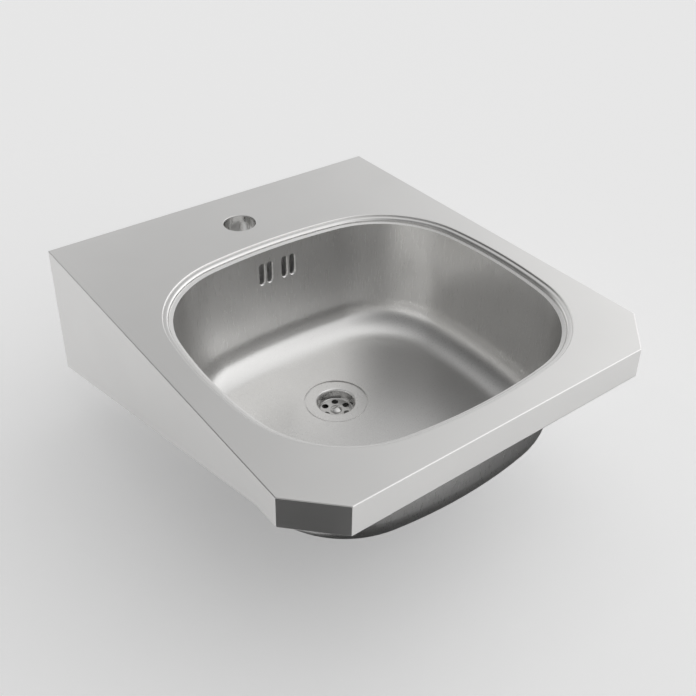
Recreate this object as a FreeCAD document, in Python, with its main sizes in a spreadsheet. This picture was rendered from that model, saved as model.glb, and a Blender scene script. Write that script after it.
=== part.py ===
import FreeCAD, Part
import math
import os
import re
import Sketcher

# A wall-hung hand wash sink in stainless steel sheet.
# The origin is the middle of the rear top edge, on the wall. +X is the user's right hand,
# the deck comes forward along -Y and its top surface is Z = 0. Lengths are in millimetres.

SIZES = [
    # deck: one folded sheet with an apron, two cut front corners and two side panels
    ("deck_width", 400.0, "across the wall"),
    ("deck_depth", 464.0, "from the wall to the front apron"),
    ("deck_sheet", 1.5, "thickness of the folded sheet"),
    ("corner_cut", 40.0, "each leg of the 45 degree front corners"),
    ("apron_drop", 31.0, "height of the front apron"),
    ("panel_drop", 149.0, "height of the side panels at the wall"),
    ("panel_kink", 67.0, "from the front to where the side panels start to widen"),
    ("bend_radius", 2.5, "outside radius of the folds"),
    ("lip_width", 12.0, "width of the lower edge folded inwards"),
    ("rear_drop", 28.0, "height of the rear fold against the wall"),
    # opening for the bowl, an oblong with bowed sides and wide round corners
    ("side_margin", 25.0, "deck left at each side of the opening"),
    ("front_margin", 26.0, "deck left in front of the opening"),
    ("rear_ledge", 110.0, "deck left behind the opening, which holds the tap"),
    ("side_bow", 482.0, "radius of the bowed sides"),
    ("end_bow", 543.0, "radius of the bowed front and rear"),
    ("corner_round", 109.0, "radius of the corners"),
    # bowl: one deep drawn pressing
    ("bowl_sheet", 1.0, "thickness of the drawn sheet"),
    ("bowl_flange", 11.0, "flange hidden under the deck"),
    ("ledge_width", 5.0, "flange left in sight inside the opening"),
    ("roll_radius", 2.5, "radius where the ledge rolls into the collar"),
    ("collar_drop", 8.0, "from the ledge down to the crease"),
    ("crease_step", 1.2, "how far the wall stands inside the collar"),
    ("wall_draft", 1.5, "degrees of draft of the wall"),
    ("bowl_depth", 143.0, "from the deck top to the drain seat"),
    ("floor_round", 35.0, "radius between wall and floor"),
    ("floor_dish", 2400.0, "radius of the floor that falls to the drain"),
    ("drain_back", 227.0, "from the wall to the drain"),
    ("drain_hole", 45.0, "diameter of the drain hole"),
    ("seat_drop", 1.5, "depth of the flat seat round the drain"),
    ("seat_margin", 1.5, "seat left bare round the strainer flange"),
    # overflow slots in the rear wall of the bowl
    ("slot_width", 7.5, "width of one slot"),
    ("slot_height", 26.0, "height of one slot"),
    ("slot_level", 33.5, "from the deck top to the middle of the slots"),
    ("slot_pitch", 9.8, "between the two slots of a pair"),
    ("pair_pitch", 28.2, "between the two pairs"),
    # tap hole with its stiffening plate and sleeve
    ("tap_hole", 35.0, "diameter"),
    ("tap_back", 62.0, "from the wall to the tap hole"),
    ("tap_side", 10.0, "from the centre line to the tap hole, to the left"),
    ("plate_width", 120.0, "stiffening plate, across"),
    ("plate_length", 66.0, "stiffening plate, front to rear"),
    ("plate_sheet", 2.0, "stiffening plate, thickness"),
    ("plate_round", 6.0, "stiffening plate, radius of its corners"),
    ("sleeve_wall", 1.5, "thickness of the sleeve"),
    ("sleeve_drop", 25.0, "length of the sleeve"),
    # wall angles welded into the rear corners
    ("angle_leg", 40.0, "leg against the wall"),
    ("angle_side", 30.0, "leg against the side panel"),
    ("angle_sheet", 3.0, "thickness"),
    ("screw_inset", 25.0, "from the side of the deck to the wall screws"),
    ("screw_level", 52.0, "from the deck top to the upper wall screws"),
    ("screw_drop", 65.0, "from the upper to the lower wall screws"),
    ("screw_slot", 8.5, "width of the wall screw slots"),
    ("screw_travel", 6.0, "length of those slots between their end centres"),
    # overflow box on two weld studs, with its gasket
    ("gasket_least", 2.0, "gasket where the bowl comes nearest"),
    ("box_sheet", 1.5, "wall of the overflow box"),
    ("box_width", 60.0, "inside width"),
    ("box_top", 15.0, "from the deck top to the box"),
    ("box_shallow", 8.0, "inside depth at the top"),
    ("box_deep", 24.0, "inside depth at the bottom"),
    ("box_slope", 36.0, "height over which it deepens"),
    ("box_height", 46.0, "inside height"),
    ("box_rim", 14.0, "rim at each side, which holds the studs"),
    ("box_edge", 4.0, "rim above and below"),
    ("stud_thread", 5.0, "diameter of the weld studs"),
    ("stud_reach", 10.0, "stud behind the box rim"),
    ("nut_flats", 8.0, "stud nut across its flats"),
    ("nut_height", 4.0, "stud nut"),
    ("washer_width", 10.0, "diameter of the stud washer"),
    ("washer_sheet", 1.0, "thickness of the stud washer"),
    # overflow pipe and its two compression joints
    ("pipe_width", 18.0, "outside diameter"),
    ("pipe_wall", 1.5, "thickness"),
    ("pipe_bend", 30.0, "radius of the bend at the middle of the pipe"),
    ("pipe_entry", 10.0, "pipe inside each socket"),
    ("socket_wall", 2.2, "thickness of the sockets"),
    ("socket_length", 18.0, "length of the socket under the overflow box"),
    ("ring_height", 3.0, "thickness of the sealing rings"),
    ("cap_wall", 3.0, "thickness of the compression nuts"),
    ("cap_grip", 12.0, "nut over its socket"),
    # waste: strainer, screw, seals and body
    ("flange_width", 64.0, "diameter of the strainer flange"),
    ("strainer_sheet", 1.0, "thickness of the strainer"),
    ("throat_width", 39.0, "diameter of the strainer throat at the top"),
    ("throat_base", 35.0, "diameter of the strainer throat at the perforated plate"),
    ("throat_drop", 11.0, "from the flange top to the perforated plate"),
    ("throat_lip", 2.5, "radius from the flange into the throat"),
    ("strain_holes", 6, "number of strainer holes"),
    ("strain_hole", 7.0, "diameter of one strainer hole"),
    ("strain_circle", 12.5, "radius of the circle of holes"),
    ("screw_thread", 6.0, "diameter of the strainer screw"),
    ("screw_head", 12.0, "diameter of its domed head"),
    ("head_height", 3.0, "height of its domed head"),
    ("head_rim", 0.9, "height of the head's straight rim"),
    ("drive_width", 1.4, "slot in the head"),
    ("seal_sheet", 0.8, "seal under the strainer flange"),
    ("gasket_sheet", 3.0, "gasket between bowl and waste body"),
    ("body_flange", 66.0, "diameter of the waste body flange"),
    ("body_plate", 4.0, "thickness of that flange"),
    ("cup_width", 54.0, "outside diameter of the waste cup"),
    ("cup_wall", 2.5, "thickness of the waste cup"),
    ("cup_drop", 34.0, "height of the waste cup"),
    ("cone_drop", 8.0, "height of the cone under the cup"),
    ("tail_thread", 41.9, "outlet thread, major diameter"),
    ("tail_bore", 34.0, "bore of the outlet"),
    ("tail_length", 24.0, "length of the outlet"),
    ("branch_drop", 20.0, "from the waste body top to the overflow branch"),
    ("branch_reach", 42.0, "from the waste axis to the branch mouth"),
    ("boss_width", 14.0, "diameter of the boss in the cup"),
    ("boss_drop", 16.0, "from the waste body top to the boss"),
    ("boss_height", 12.0, "height of the boss"),
    ("rib_sheet", 3.0, "thickness of the ribs that carry the boss"),
    ("insert_width", 9.0, "diameter of the threaded insert"),
    ("insert_height", 9.0, "height of the threaded insert"),
    # clearances
    ("fit_gap", 0.2, "round fits and pieces that lie side by side"),
]

document = FreeCAD.newDocument("hand_wash_sink")
sheet = document.addObject("Spreadsheet::Sheet", "Sizes")
for row, (alias, number, meaning) in enumerate(SIZES, start=1):
    sheet.set(f"A{row}", alias)
    sheet.set(f"B{row}", str(number))
    sheet.set(f"C{row}", meaning)
    sheet.setAlias(f"B{row}", alias)
document.recompute()

# Places that several pieces share, as formulas of the sizes. Levels are heights, so they are negative.
HALF_WIDTH = "deck_width / 2"
OPENING_HALF = "(deck_width / 2 - side_margin)"
OPENING_LENGTH = "(deck_depth - front_margin - rear_ledge)"
OPENING_MIDDLE = f"(rear_ledge + {OPENING_LENGTH} / 2)"
LEDGE_LEVEL = "-deck_sheet"
CREASE_LEVEL = "-(deck_sheet + collar_drop)"
COLLAR_INSET = "(ledge_width + roll_radius)"
WALL_INSET = "(ledge_width + roll_radius + crease_step)"
PANEL_SLOPE = "((panel_drop - apron_drop) / (deck_depth - panel_kink))"
SEAT_RADIUS = "(flange_width / 2 + seat_margin)"
BOWL_REAR = f"(rear_ledge + {WALL_INSET} - bowl_sheet)"
BOX_FACE = f"({BOWL_REAR} - gasket_least)"
BOX_HALF = "(box_width / 2)"
BOX_BOTTOM = "(box_top + box_sheet + box_height)"
STUD_PLACE = "(box_width / 2 + box_sheet + box_rim / 2)"
STUD_LEVEL = "(box_top + box_sheet + box_height / 2)"
PIPE_BACK = f"({BOX_FACE} - box_deep / 2)"
SOCKET_BORE = "(pipe_width / 2 + fit_gap)"
SOCKET_RADIUS = f"({SOCKET_BORE} + socket_wall)"
SOCKET_END = f"({BOX_BOTTOM} + box_sheet + socket_length)"
PLATE_TOP = "(bowl_depth - seal_sheet - strainer_sheet + throat_drop)"
BODY_TOP = "(bowl_depth + bowl_sheet + gasket_sheet)"
BRANCH_LEVEL = f"({BODY_TOP} + branch_drop)"
BRANCH_MOUTH = "(drain_back - branch_reach)"
BOSS_TOP = f"({BODY_TOP} + boss_drop)"


def bound(formula):
    """Names the sheet before each size in a formula."""
    return re.sub(r"[a-z]+_[a-z]+", r"Sizes.\g<0>", formula)


def value(formula):
    """The number that a formula gives now."""
    return float(sheet.evalExpression(formula))


def new_body(label):
    body = document.addObject("PartDesign::Body", label)
    body.Label = label
    return body


def new_sketch(body, name, plane, along=("0", "0", "0")):
    """A sketch on one of the body's own origin planes, shifted in the sketch's own axes.

    XY_Plane has axes X, Y and Z; XZ_Plane has X, Z and -Y; YZ_Plane has Y, Z and X.
    """
    sketch = body.newObject("Sketcher::SketchObject", name)
    support = next(f for f in body.Origin.OriginFeatures if f.Role == plane)
    sketch.AttachmentSupport = [(support, "")]
    sketch.MapMode = "FlatFace"
    for axis, formula in zip("xyz", along):
        sketch.setExpression(f"AttachmentOffset.Base.{axis}", bound(formula))
    return sketch


def dimension(sketch, kind, places, formula):
    number = sketch.addConstraint(Sketcher.Constraint(kind, *places, value(formula)))
    sketch.setExpression(f"Constraints[{number}]", bound(formula))


def pin_point(sketch, geometry, point, across, up):
    dimension(sketch, "DistanceX", (-1, 1, geometry, point), across)
    dimension(sketch, "DistanceY", (-1, 1, geometry, point), up)


def arc(x, y, radius, start, end):
    circle = Part.Circle(FreeCAD.Vector(x, y, 0), FreeCAD.Vector(0, 0, 1), radius)
    return Part.ArcOfCircle(circle, start, end)


def draw_polygon(sketch, corners):
    """A closed outline whose corners are pairs of formulas. A corner with a third formula starts an
    arc that turns anticlockwise about a centre at that height on the sketch's upright axis."""
    pieces = []
    for (x0, y0, *centre), (x1, y1, *_) in zip(corners, corners[1:] + corners[:1]):
        start = FreeCAD.Vector(value(x0), value(y0), 0)
        end = FreeCAD.Vector(value(x1), value(y1), 0)
        if centre:
            middle = FreeCAD.Vector(0, value(centre[0]), 0)
            from_middle, to_end = start - middle, end - middle
            first = math.atan2(from_middle.y, from_middle.x)
            last = math.atan2(to_end.y, to_end.x)
            shape = arc(0, middle.y, from_middle.Length, first, last)
        else:
            shape = Part.LineSegment(start, end)
        pieces.append(sketch.addGeometry(shape, False))
    for piece, after in zip(pieces, pieces[1:] + pieces[:1]):
        sketch.addConstraint(Sketcher.Constraint("Coincident", piece, 2, after, 1))
    for piece, (x, y, *centre) in zip(pieces, corners):
        pin_point(sketch, piece, 1, x, y)
        if centre:
            dimension(sketch, "DistanceX", (-1, 1, piece, 3), "0")


def draw_rectangle(sketch, left, bottom, right, top):
    draw_polygon(sketch, [(left, bottom), (right, bottom), (right, top), (left, top)])


def draw_circle(sketch, across, up, radius):
    middle = FreeCAD.Vector(value(across), value(up), 0)
    shape = Part.Circle(middle, FreeCAD.Vector(0, 0, 1), value(radius))
    circle = sketch.addGeometry(shape, False)
    pin_point(sketch, circle, 3, across, up)
    dimension(sketch, "Radius", (circle,), radius)


def draw_slot(sketch, start, end, radius):
    """A slot with round ends, between the centres of its two ends, each a pair of formulas."""
    x0, y0, x1, y1 = [value(formula) for formula in start + end]
    r = value(radius)
    heading = math.atan2(y1 - y0, x1 - x0)
    side_x, side_y = r * math.sin(heading), -r * math.cos(heading)
    right, left = heading - math.pi / 2, heading + math.pi / 2
    outline = [
        arc(x0, y0, r, left, left + math.pi),
        Part.LineSegment(
            FreeCAD.Vector(x0 + side_x, y0 + side_y, 0), FreeCAD.Vector(x1 + side_x, y1 + side_y, 0)
        ),
        arc(x1, y1, r, right, left),
        Part.LineSegment(
            FreeCAD.Vector(x1 - side_x, y1 - side_y, 0), FreeCAD.Vector(x0 - side_x, y0 - side_y, 0)
        ),
    ]
    near, out, far, home = [sketch.addGeometry(piece, False) for piece in outline]
    for one, other in ((near, out), (out, far), (far, home), (home, near)):
        sketch.addConstraint(Sketcher.Constraint("Tangent", one, 2, other, 1))
    pin_point(sketch, near, 3, *start)
    pin_point(sketch, far, 3, *end)
    dimension(sketch, "Radius", (near,), radius)


def draw_basin(sketch, growth):
    """The opening's outline grown by a formula: two bowed sides, two bowed ends and four round
    corners, all tangent, about the sketch's own centre."""
    half_x = value(OPENING_HALF)
    half_y = value(f"{OPENING_LENGTH} / 2")
    side, end, corner = value("side_bow"), value("end_bow"), value("corner_round")
    grow = value(growth)
    # a corner's centre lies (side - corner) from the side's centre and (end - corner) from the end's
    side_x, end_y = half_x - side, half_y - end
    gap = math.hypot(side_x, end_y)
    along = ((side - corner) ** 2 - (end - corner) ** 2 + gap**2) / (2 * gap)
    off = math.sqrt((side - corner) ** 2 - along**2)
    corner_x = side_x * (1 - along / gap) - off * end_y / gap
    corner_y = end_y * along / gap - off * side_x / gap
    turn_side = math.atan2(corner_y, corner_x - side_x)
    turn_end = math.atan2(corner_y - end_y, corner_x)
    sketch.addGeometry(arc(side_x, 0, side + grow, -turn_side, turn_side), False)
    sketch.addGeometry(arc(corner_x, corner_y, corner + grow, turn_side, turn_end), False)
    sketch.addGeometry(arc(0, end_y, end + grow, turn_end, math.pi - turn_end), False)
    sketch.addGeometry(
        arc(-corner_x, corner_y, corner + grow, math.pi - turn_end, math.pi - turn_side), False
    )
    sketch.addGeometry(
        arc(-side_x, 0, side + grow, math.pi - turn_side, math.pi + turn_side), False
    )
    sketch.addGeometry(
        arc(-corner_x, -corner_y, corner + grow, math.pi + turn_side, math.pi + turn_end), False
    )
    sketch.addGeometry(
        arc(0, -end_y, end + grow, math.pi + turn_end, 2 * math.pi - turn_end), False
    )
    sketch.addGeometry(
        arc(corner_x, -corner_y, corner + grow, -turn_end, -turn_side), False
    )
    right, front, left, rear = 0, 2, 4, 6
    for piece in range(8):
        after = (piece + 1) % 8
        sketch.addConstraint(Sketcher.Constraint("Tangent", piece, 2, after, 1))
    for piece, sign in ((right, 1), (left, -1)):
        pin_point(sketch, piece, 3, f"{sign} * ({OPENING_HALF} - side_bow)", "0")
    for piece, sign in ((front, 1), (rear, -1)):
        pin_point(sketch, piece, 3, "0", f"{sign} * ({OPENING_LENGTH} / 2 - end_bow)")
    dimension(sketch, "Radius", (right,), f"side_bow + {growth}")
    dimension(sketch, "Radius", (front,), f"end_bow + {growth}")
    dimension(sketch, "Radius", (1,), f"corner_round + {growth}")
    sketch.addConstraint(Sketcher.Constraint("Equal", right, left))
    sketch.addConstraint(Sketcher.Constraint("Equal", front, rear))
    for piece in (3, 5, 7):
        sketch.addConstraint(Sketcher.Constraint("Equal", 1, piece))


def basin_sketch(body, name, level, growth):
    sketch = new_sketch(body, name, "XY_Plane", ("0", f"-{OPENING_MIDDLE}", level))
    draw_basin(sketch, growth)
    return sketch


def add_pad(body, name, sketch, length, reverse=False, middle=False, draft=None):
    """Raises the sketch along its normal, which is +Z, -Y or +X, or the other way."""
    pad = body.newObject("PartDesign::Pad", name)
    pad.Profile = sketch
    pad.Reversed = reverse
    pad.Midplane = middle
    pad.setExpression("Length", bound(length))
    if draft:
        pad.setExpression("TaperAngle", bound(draft))
    document.recompute()
    return pad


def add_pocket(body, name, sketch, length=None, reverse=False, middle=False):
    """Cuts against the sketch's normal, or the other way, to a length or through everything."""
    pocket = body.newObject("PartDesign::Pocket", name)
    pocket.Profile = sketch
    pocket.Reversed = reverse
    pocket.Midplane = middle
    if length is None:
        pocket.Type = "ThroughAll"
    else:
        pocket.setExpression("Length", bound(length))
    document.recompute()
    return pocket


def add_turn(body, name, sketch, kind="Revolution"):
    """Turns the sketch about its own upright axis."""
    turn = body.newObject(f"PartDesign::{kind}", name)
    turn.Profile = sketch
    turn.ReferenceAxis = (sketch, ["V_Axis"])
    turn.Angle = 360
    document.recompute()
    return turn


def add_fillet(body, name, radius, wanted):
    """Rounds the edges of the body's last feature for which wanted(edge) holds."""
    last = body.Tip
    edges = [f"Edge{i}" for i, edge in enumerate(last.Shape.Edges, 1) if wanted(edge)]
    fillet = body.newObject("PartDesign::Fillet", name)
    fillet.Base = (last, edges)
    fillet.setExpression("Radius", bound(radius))
    document.recompute()
    return fillet


def at_level(edge, level):
    """True for an edge that lies flat at a height."""
    ends = [vertex.Point.z for vertex in edge.Vertexes]
    middle = edge.valueAt((edge.FirstParameter + edge.LastParameter) / 2).z
    return all(abs(z - level) < 0.01 for z in ends + [middle])


def turned(label, profile, along):
    """A body turned from a profile of radius and height pairs about an upright axis."""
    body = new_body(label)
    sketch = new_sketch(body, label + "_profile", "XZ_Plane", along)
    draw_polygon(sketch, profile)
    add_turn(body, label + "_turn", sketch)
    return body


def place(item, across="0", back="0", level="0"):
    for axis, formula in (("x", across), ("y", back), ("z", level)):
        item.setExpression(f"Placement.Base.{axis}", bound(formula))


def primitive(kind, name, sizes, across="0", back="0", level="0"):
    item = document.addObject(f"Part::{kind}", name)
    for size, formula in sizes.items():
        item.setExpression(size, bound(formula))
    place(item, across, back, level)
    return item


def cut(label, base, tool):
    item = document.addObject("Part::Cut", label)
    item.Label = label
    item.Base, item.Tool = base, tool
    document.recompute()
    return item


def group(label, items):
    """Identical small pieces as separate solids of one sub-part."""
    item = document.addObject("Part::Compound", label)
    item.Label = label
    item.Links = items
    document.recompute()
    return item


def deck_outline(inset, rear):
    """Corners of the deck, inset all round, from its rear left corner."""
    side = f"({HALF_WIDTH} - ({inset}))"
    cut_side = f"(corner_cut + ({inset}) * tan(22.5))"
    front = f"(deck_depth - ({inset}))"
    flank = f"(deck_depth - corner_cut - ({inset}) * tan(22.5))"
    nose = f"({HALF_WIDTH} - {cut_side})"
    return [
        (f"-{side}", rear),
        (f"-{side}", f"-{flank}"),
        (f"-{nose}", f"-{front}"),
        (nose, f"-{front}"),
        (side, f"-{flank}"),
        (side, rear),
    ]


def is_bend(edge, level):
    """True for the folds round the deck, apart from the rear one, which is pressed sharp."""
    rear = all(vertex.Point.y > -2 * value("deck_sheet") for vertex in edge.Vertexes)
    return at_level(edge, level) and not rear


def make_deck():
    """Deck, apron, cut corners, side panels and rear fold, bent from one sheet, with the lower
    edges folded inwards."""
    body = new_body("deck_shell")
    kink = "(deck_depth - panel_kink)"
    front, bottom = "(deck_depth + deck_sheet)", "(panel_drop + deck_sheet)"

    outline = new_sketch(body, "deck_outline", "XY_Plane")
    draw_polygon(outline, deck_outline("0", "0"))
    add_pad(body, "deck_block", outline, "panel_drop", reverse=True)

    under = new_sketch(body, "panel_edge", "YZ_Plane")
    draw_polygon(
        under,
        [
            ("0", "-panel_drop"),
            (f"-{kink}", "-apron_drop"),
            (f"-{front}", "-apron_drop"),
            (f"-{front}", f"-{bottom}"),
            ("0", f"-{bottom}"),
        ],
    )
    add_pocket(body, "panel_trim", under, middle=True)
    add_fillet(body, "outer_bends", "bend_radius", lambda edge: is_bend(edge, 0))

    inside = new_sketch(body, "inside_outline", "XY_Plane", ("0", "0", "-deck_sheet"))
    draw_polygon(inside, deck_outline("deck_sheet", "-deck_sheet"))
    add_pocket(body, "inside", inside)
    level = -value("deck_sheet")
    add_fillet(body, "inner_bends", "bend_radius - deck_sheet", lambda edge: is_bend(edge, level))

    rear = new_sketch(body, "rear_gap", "XZ_Plane")
    side = f"({HALF_WIDTH} - deck_sheet)"
    draw_rectangle(rear, f"-{side}", f"-{bottom}", side, "-rear_drop")
    add_pocket(body, "rear_trim", rear, "2 * deck_sheet", reverse=True)

    lip = new_sketch(body, "front_lip_outline", "XY_Plane", ("0", "0", "-apron_drop"))
    outer = deck_outline("0", f"-{kink}")
    inner = deck_outline("lip_width", f"-{kink}")
    draw_polygon(lip, outer + inner[::-1])
    add_pad(body, "front_lip", lip, "deck_sheet")
    for side_name, sign, reverse in (("left", "-", False), ("right", "", True)):
        along = ("0", "0", f"{sign}({HALF_WIDTH})")
        slope = new_sketch(body, side_name + "_lip_outline", "YZ_Plane", along)
        draw_polygon(
            slope,
            [
                ("0", "-panel_drop"),
                (f"-{kink}", "-apron_drop"),
                (f"-{kink}", "-apron_drop + deck_sheet"),
                ("0", "-panel_drop + deck_sheet"),
            ],
        )
        add_pad(body, side_name + "_lip", slope, "lip_width", reverse=reverse)

    opening = basin_sketch(body, "opening_outline", "0", "0")
    add_pocket(body, "opening", opening, "2 * deck_sheet")
    tap = new_sketch(body, "tap_circle", "XY_Plane")
    draw_circle(tap, "-tap_side", "-tap_back", "tap_hole / 2")
    add_pocket(body, "tap_opening", tap, "2 * deck_sheet")
    return body


def make_plug(name, thickness):
    """The solid that fills the bowl out to its inner face, plus a thickness: drafted wall, dished
    floor with a wide round, drain seat and collar."""
    body = new_body(name)
    wall = basin_sketch(body, name + "_outline", CREASE_LEVEL, f"(-{WALL_INSET} + {thickness})")
    deep = "bowl_depth + floor_round"
    add_pad(body, name + "_wall", wall, deep, reverse=True, draft="-wall_draft")

    lowest = f"(-bowl_depth + seat_drop - {thickness})"
    radius = f"(floor_dish + {thickness})"
    centre = f"({lowest} + {radius})"
    edge_rise = f"({radius} - sqrt({radius} * {radius} - deck_depth * deck_depth))"
    dish = new_sketch(body, name + "_dish", "YZ_Plane", ("-drain_back", "0", "0"))
    draw_polygon(
        dish,
        [
            ("0", lowest, centre),
            ("deck_depth", f"{lowest} + {edge_rise}"),
            ("deck_depth", "-2 * bowl_depth"),
            ("0", "-2 * bowl_depth"),
        ],
    )
    add_turn(body, name + "_floor", dish, "Groove")

    highest = value(f"{CREASE_LEVEL} - bowl_depth / 2")
    add_fillet(
        body,
        name + "_round",
        f"floor_round + {thickness}",
        lambda edge: all(vertex.Point.z < highest for vertex in edge.Vertexes),
    )

    collar = basin_sketch(body, name + "_collar", LEDGE_LEVEL, f"(-{COLLAR_INSET} + {thickness})")
    add_pad(body, name + "_neck", collar, f"collar_drop + {thickness}", reverse=True)
    seat = new_sketch(body, name + "_seat", "XY_Plane", ("0", "0", f"-bowl_depth - {thickness}"))
    draw_circle(seat, "0", "-drain_back", f"{SEAT_RADIUS} + {thickness}")
    add_pad(body, name + "_drain_seat", seat, "2 * seat_drop")
    return body


def make_bowl():
    """The drawn bowl: the space between two plugs, with a flange, rolled ledge, drain hole and
    overflow slots. Gives the bowl and the plug of its outside, which pieces behind it lie on."""
    outside = make_plug("bowl_outside", "bowl_sheet")
    inside = make_plug("bowl_inside", "0")

    flange = new_body("bowl_flange_plate")
    outline = basin_sketch(flange, "flange_outline", LEDGE_LEVEL, "bowl_flange")
    add_pad(flange, "flange_plate", outline, "bowl_sheet", reverse=True)
    blank = document.addObject("Part::Fuse", "bowl_blank")
    blank.Base, blank.Tool = flange, outside
    pressing = cut("bowl_pressing", blank, inside)

    rolled = document.addObject("Part::Fillet", "bowl_rolled")
    rolled.Base = pressing
    top, underside = value(LEDGE_LEVEL), value(f"{LEDGE_LEVEL} - bowl_sheet")
    hidden = value("bowl_flange")
    rounds = []
    for number, edge in enumerate(pressing.Shape.Edges, start=1):
        if outline.Shape.distToShape(edge)[0] < hidden:
            continue
        if at_level(edge, top):
            radius = value("roll_radius")
            rounds.append((number, radius, radius))
        elif at_level(edge, underside):
            radius = value("roll_radius - bowl_sheet")
            rounds.append((number, radius, radius))
    rolled.Edges = rounds
    document.recompute()

    slots = new_body("slot_cutter")
    sketch = new_sketch(slots, "slot_outlines", "XZ_Plane", ("0", "0", f"{BOX_FACE}"))
    straight = "(slot_height - slot_width) / 2"
    for pair in ("-", ""):
        for slot in ("-", "+"):
            across = f"{pair}(pair_pitch / 2) {slot} slot_pitch / 2"
            low = (across, f"-slot_level - {straight}")
            high = (across, f"-slot_level + {straight}")
            draw_slot(sketch, low, high, "slot_width / 2")
    add_pad(slots, "slot_block", sketch, "gasket_least + 5 * bowl_sheet + crease_step")

    drain = primitive(
        "Cylinder",
        "drain_cutter",
        {"Radius": "drain_hole / 2", "Height": "4 * bowl_sheet"},
        back="-drain_back",
        level="-bowl_depth - 2 * bowl_sheet",
    )
    drained = cut("bowl_drained", rolled, drain)
    return cut("bowl", drained, slots), outside


def make_tap_parts():
    """Stiffening plate under the tap ledge, with a sleeve that lines the tap hole."""
    plate = new_body("tap_plate")
    sketch = new_sketch(plate, "tap_plate_outline", "XY_Plane", ("0", "0", LEDGE_LEVEL))
    draw_rectangle(
        sketch,
        "-tap_side - plate_width / 2",
        "-tap_back - plate_length / 2",
        "-tap_side + plate_width / 2",
        "-tap_back + plate_length / 2",
    )
    draw_circle(sketch, "-tap_side", "-tap_back", "tap_hole / 2 + sleeve_wall + fit_gap")
    add_pad(plate, "tap_plate_sheet", sketch, "plate_sheet", reverse=True)
    add_fillet(plate, "tap_plate_corners", "plate_round", is_upright)

    sleeve = turned(
        "tap_sleeve",
        [
            ("tap_hole / 2", "0"),
            ("tap_hole / 2 + sleeve_wall", "0"),
            ("tap_hole / 2 + sleeve_wall", "-sleeve_drop"),
            ("tap_hole / 2", "-sleeve_drop"),
        ],
        ("-tap_side", LEDGE_LEVEL, "tap_back"),
    )
    return [plate, sleeve]


def is_upright(edge):
    """True for a straight vertical edge."""
    if len(edge.Vertexes) != 2 or edge.Curve.TypeId != "Part::GeomLine":
        return False
    start, end = [vertex.Point for vertex in edge.Vertexes]
    return math.hypot(start.x - end.x, start.y - end.y) < 0.01


def make_wall_angle(label, sign):
    """An angle welded between the side panel and the wall face, with two level screw slots."""
    body = new_body(label)
    near = f"({HALF_WIDTH} - deck_sheet)"
    profile = [
        (near, "0"),
        (f"{near} - angle_leg", "0"),
        (f"{near} - angle_leg", "-angle_sheet"),
        (f"{near} - angle_sheet", "-angle_sheet"),
        (f"{near} - angle_sheet", "-angle_side"),
        (near, "-angle_side"),
    ]
    sketch = new_sketch(body, label + "_profile", "XY_Plane", ("0", "0", "-rear_drop - fit_gap"))
    draw_polygon(sketch, [(f"{sign} * ({x})", y) for x, y in profile])
    foot = f"{PANEL_SLOPE} * angle_side + deck_sheet + 2 * fit_gap"
    add_pad(body, label + "_bar", sketch, f"panel_drop - rear_drop - ({foot})", reverse=True)
    slots = new_sketch(body, label + "_slots", "XZ_Plane")
    across = f"{sign} * ({HALF_WIDTH} - screw_inset)"
    for level in ("-screw_level", "-(screw_level + screw_drop)"):
        start, end = f"{across} - screw_travel / 2", f"{across} + screw_travel / 2"
        draw_slot(slots, (start, level), (end, level), "screw_slot / 2")
    add_pocket(body, label + "_holes", slots, "2 * angle_sheet", reverse=True)
    return body


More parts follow.
